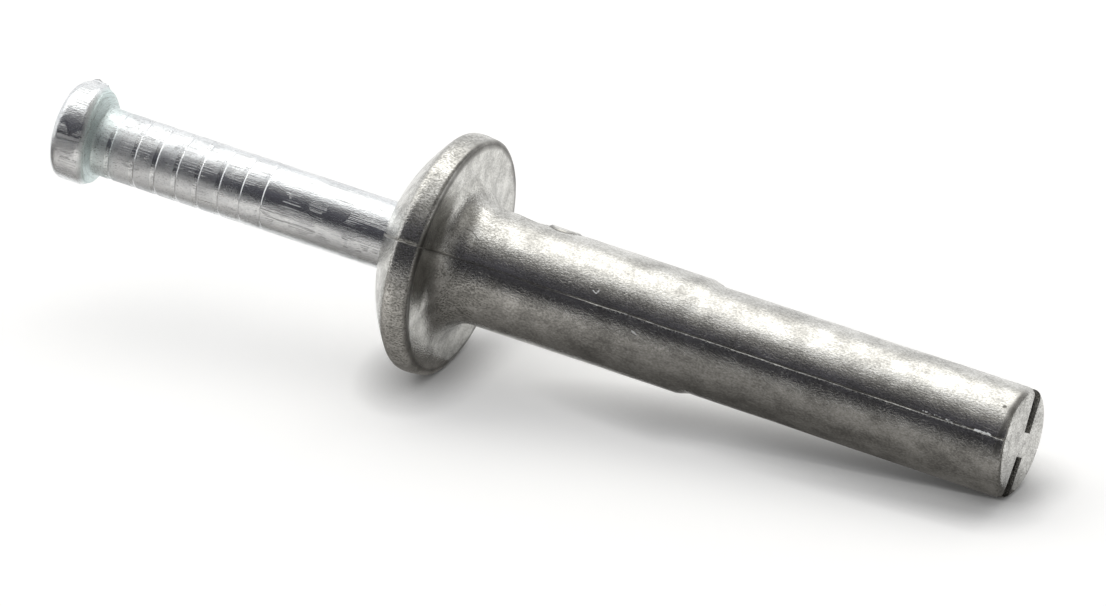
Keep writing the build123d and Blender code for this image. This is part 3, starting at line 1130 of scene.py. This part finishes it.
def make_floor(finishes):
    """A pale table top, level with the lowest point of the anchor. Its colour and its camera glow darken
    near the anchor by ambient occlusion: a painted contact shadow.
    """
    half = 3.0
    level = cad_low.z
    corners = [(-half, -half, level), (half, -half, level), (half, half, level), (-half, half, level)]
    floor = add_piece("floor", corners, [[0, 1, 2, 3]])
    made, tree, shader = new_material("table_top_painted_shadow")
    shader.inputs["Roughness"].default_value = 0.9
    shader.inputs["Specular IOR Level"].default_value = 0.1
    shader.inputs["Emission Color"].default_value = (1, 1, 1, 1)
    # Painted shadow: ambient occlusion darkens the floor's colour to half and dims its glow near the
    # anchor.
    nearby = add_node(tree, "ShaderNodeAmbientOcclusion", {"samples": 8}, Distance=2.8 * MM)
    open_sky = reckon(tree, "POWER", nearby.outputs["AO"], 1.5)
    shade = four([part * 0.5 for part in finishes.floor])
    pale = blend_colours(tree, "MIX", open_sky, shade, four(finishes.floor))
    tree.links.new(pale, shader.inputs["Base Color"])
    glow = times(tree, seen_directly(tree), times(tree, open_sky, 0.27))
    tree.links.new(glow, shader.inputs["Emission Strength"])
    floor.data.materials.append(made)
    return floor


def make_painted_reflection_card(name, vertices, faces, glow):
    """A glowing card that only the metal's gloss sees, a painted reflection and no lamp; glow(tree) gives
    its colour.
    """
    card = add_piece(name, vertices, faces)
    made = bpy.data.materials.new(name)
    made.use_nodes = True
    tree = made.node_tree
    tree.nodes.clear()
    light = add_node(tree, "ShaderNodeEmission", Color=glow(tree), Strength=1.0)
    out = tree.nodes.new("ShaderNodeOutputMaterial")
    tree.links.new(light.outputs[0], out.inputs["Surface"])
    card.data.materials.append(made)
    card.visible_camera = False
    card.visible_diffuse = False
    card.visible_shadow = False
    return card


def grey_ramp(tree, value, stops):
    """Greys along a value, given as (place, red, green, blue)."""
    made = tree.nodes.new("ShaderNodeValToRGB")
    tree.links.new(value, made.inputs[0])
    ramp = made.color_ramp
    while len(ramp.elements) < len(stops):
        ramp.elements.new(0.5)
    for element, (place, *shade) in zip(ramp.elements, stops):
        element.position = place
        element.color = four(shade)
    return made.outputs[0]


def brightened(tree, shade, factor):
    """The colour times a number."""
    scale = {"operation": "SCALE"}
    return add_node(tree, "ShaderNodeVectorMath", scale, Vector=shade, Scale=factor).outputs[0]


def make_dark_card():
    """A curved card on the camera's side, dark low down and lighter towards its top. It glows and shows
    only in the metal's reflections: a painted reflection of a dark room, with paler painted parts to the
    right and at its top.
    """
    radius = 0.5
    low, high, rows = math.radians(2), math.radians(72), 30
    first, last, columns = math.radians(-56), math.radians(150), 50
    vertices = []
    for row in range(rows + 1):
        elevation = low + (high - low) * row / rows
        for column in range(columns + 1):
            azimuth = first + (last - first) * column / columns
            vertices.append(direction(azimuth, elevation) * radius)
    faces = []
    for row in range(rows):
        for column in range(columns):
            corner = row * (columns + 1) + column
            faces.append([corner, corner + 1, corner + columns + 2, corner + columns + 1])

    def glow(tree):
        place = tree.nodes.new("ShaderNodeTexCoord").outputs["Object"]
        apart = add_node(tree, "ShaderNodeSeparateXYZ", n0=place).outputs
        elevation = reckon(tree, "ARCSINE", reckon(tree, "DIVIDE", apart[2], radius))
        stops = (
            (0.0, 0.036, 0.035, 0.037),
            (0.2, 0.046, 0.045, 0.049),
            (0.45, 0.074, 0.073, 0.086),
            (0.7, 0.088, 0.086, 0.100),
            (0.88, 0.125, 0.122, 0.126),
            (1.0, 0.33, 0.32, 0.31),
        )
        grey = grey_ramp(tree, reckon(tree, "DIVIDE", elevation, high), stops)
        azimuth = reckon(tree, "ARCTAN2", apart[0], times(tree, apart[1], -1))
        right = scaled(tree, azimuth, math.radians(45), math.radians(105), 0, 1)
        raised = scaled(tree, elevation, math.radians(6), math.radians(24), 0.2, 1)
        pale = times(tree, right, raised)
        top = scaled(tree, elevation, math.radians(50), math.radians(64), 0, 1)
        middle = scaled(tree, azimuth, math.radians(-42), math.radians(-25), 0, 1)
        pale = reckon(tree, "MAXIMUM", pale, times(tree, top, middle))
        return blend_colours(tree, "MIX", pale, grey, (0.43, 0.42, 0.40, 1))

    return make_painted_reflection_card("dark_reflection_card", vertices, faces, glow)


def make_floor_card():
    """A grey card lying on the table, seen only in the metal's reflections: a painted reflection of the
    floor, darker under the anchor as a painted shadow and darker far in front of it.
    """
    level = cad_low.z + 0.2 * MM
    left, right, near, far = -120 * MM, 400 * MM, -500 * MM, 0
    corners = [(left, near, level), (right, near, level), (right, 230 * MM, level)]
    corners += [(30 * MM, far, level), (left, far, level)]

    def glow(tree):
        place = tree.nodes.new("ShaderNodeTexCoord").outputs["Object"]
        apart = add_node(tree, "ShaderNodeSeparateXYZ", n0=place).outputs
        part = scaled(tree, apart[1], -100 * MM, 0, 0, 1)
        stops = (
            (0.0, 0.080, 0.078, 0.078),
            (0.55, 0.200, 0.193, 0.186),
            (0.8, 0.310, 0.300, 0.288),
            (0.92, 0.245, 0.236, 0.226),
            (0.97, 0.125, 0.120, 0.114),
            (1.0, 0.078, 0.075, 0.071),
        )
        lift = scaled(tree, apart[0], -19 * MM, 1 * MM, 3.1, 1.0)
        lift = reckon(tree, "ADD", lift, scaled(tree, apart[0], 14 * MM, 26 * MM, 0, 0.35))
        lift = reckon(tree, "SUBTRACT", lift, scaled(tree, apart[0], -37 * MM, -30 * MM, 2.1, 0))
        grey = grey_ramp(tree, part, stops)
        return brightened(tree, grey, lift)

    return make_painted_reflection_card("floor_reflection_card", corners, [list(range(len(corners)))], glow)


def make_softbox():
    """A large soft lamp overhead and a little behind the anchor."""
    back = Vector((-0.30, 0.36, 0.88)).normalized()
    data = bpy.data.lights.new("softbox", "AREA")
    data.shape = "RECTANGLE"
    data.size, data.size_y = 1.1, 0.42
    radiance = 1.12
    data.energy = radiance * math.pi * data.size * data.size_y
    data.color = (1.0, 0.98, 0.925)
    lamp = bpy.data.objects.new("softbox", data)
    bpy.context.scene.collection.objects.link(lamp)
    lamp.location = back * 0.6
    lamp.rotation_mode = "QUATERNION"
    lamp.rotation_quaternion = back.to_track_quat("Z", "Y")
    lamp.visible_camera = False
    return lamp


def make_world():
    """White to the camera and in the metal's gloss, and a weaker fill on the rest."""
    world = bpy.data.worlds.new("studio")
    bpy.context.scene.world = world
    world.use_nodes = True
    tree = world.node_tree
    tree.nodes.clear()
    strength = scaled(tree, seen_directly(tree), 0, 1, 0.62, 1.0)
    sky = add_node(tree, "ShaderNodeBackground", Color=(1, 1, 1, 1), Strength=strength)
    out = tree.nodes.new("ShaderNodeOutputWorld")
    tree.links.new(sky.outputs[0], out.inputs["Surface"])


# ------------------------------------------------------------------ operators and panel
class DRIVE_ANCHOR_OT_add_body(Operator):
    """Add the die-cast body in place of the plain CAD one"""

    bl_idname = "drive_anchor.add_body"
    bl_label = "Add Cast Body"

    def execute(self, context):
        scene = context.scene
        piece = make_body(scene.anchor_body, scene.anchor_marks)
        piece.data.materials.clear()
        piece.data.materials.append(cast_zinc(scene.anchor_finishes))
        piece.data.transform(LYING)
        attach(piece, "anchor")
        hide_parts("anchor_body")
        return {"FINISHED"}


class DRIVE_ANCHOR_OT_add_nail(Operator):
    """Add the plated drive nail in place of the plain CAD one"""

    bl_idname = "drive_anchor.add_nail"
    bl_label = "Add Drive Nail"

    def execute(self, context):
        scene = context.scene
        piece = make_nail(scene.anchor_nail)
        finish = plated_steel(scene.anchor_finishes, scene.anchor_nail)
        piece.data.materials.append(finish)
        piece.data.transform(LYING)
        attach(piece, "nail")
        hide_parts("drive_nail")
        return {"FINISHED"}


class DRIVE_ANCHOR_OT_add_stage(Operator):
    """Add the camera, the pale floor, the lamp and the white surroundings"""

    bl_idname = "drive_anchor.add_stage"
    bl_label = "Add Stage"

    def execute(self, context):
        context.scene.view_settings.view_transform = "Standard"
        make_camera()
        make_floor(context.scene.anchor_finishes)
        # Two glowing cards that show only in the metal's reflections: painted reflections of a dark room
        # and of a shaded floor.
        make_dark_card()
        make_floor_card()
        make_softbox()
        make_world()
        return {"FINISHED"}


class DRIVE_ANCHOR_PT_panel(Panel):
    """Lists the sizes and the steps"""

    bl_idname = "DRIVE_ANCHOR_PT_panel"
    bl_label = "Hammer Drive Anchor"
    bl_space_type = "VIEW_3D"
    bl_region_type = "UI"
    bl_category = "Drive Anchor"

    def draw(self, context):
        layout = self.layout
        for step in STEPS:
            layout.operator(step.bl_idname)
        for name, kind in GROUPS.items():
            box = layout.box()
            box.label(text=kind.__doc__)
            for key in kind.__annotations__:
                box.prop(getattr(context.scene, name), key)


STEPS = (DRIVE_ANCHOR_OT_add_stage, DRIVE_ANCHOR_OT_add_body, DRIVE_ANCHOR_OT_add_nail)
GROUPS = {
    "anchor_body": BodySizes,
    "anchor_nail": NailSizes,
    "anchor_marks": CastMarks,
    "anchor_finishes": Finishes,
}


def register():
    """Register the classes and hang the property groups on the scene."""
    for kind in (*GROUPS.values(), *STEPS, DRIVE_ANCHOR_PT_panel):
        bpy.utils.register_class(kind)
    for name, kind in GROUPS.items():
        setattr(bpy.types.Scene, name, PointerProperty(type=kind))


def unregister():
    """Undo what register did."""
    for name in GROUPS:
        delattr(bpy.types.Scene, name)
    for kind in (DRIVE_ANCHOR_PT_panel, *STEPS, *GROUPS.values()):
        bpy.utils.unregister_class(kind)


def main():
    """Build everything."""
    register()
    bpy.ops.drive_anchor.add_stage()
    bpy.ops.drive_anchor.add_body()
    bpy.ops.drive_anchor.add_nail()
    bpy.context.view_layer.update()


if __name__ == "__main__":
    main()
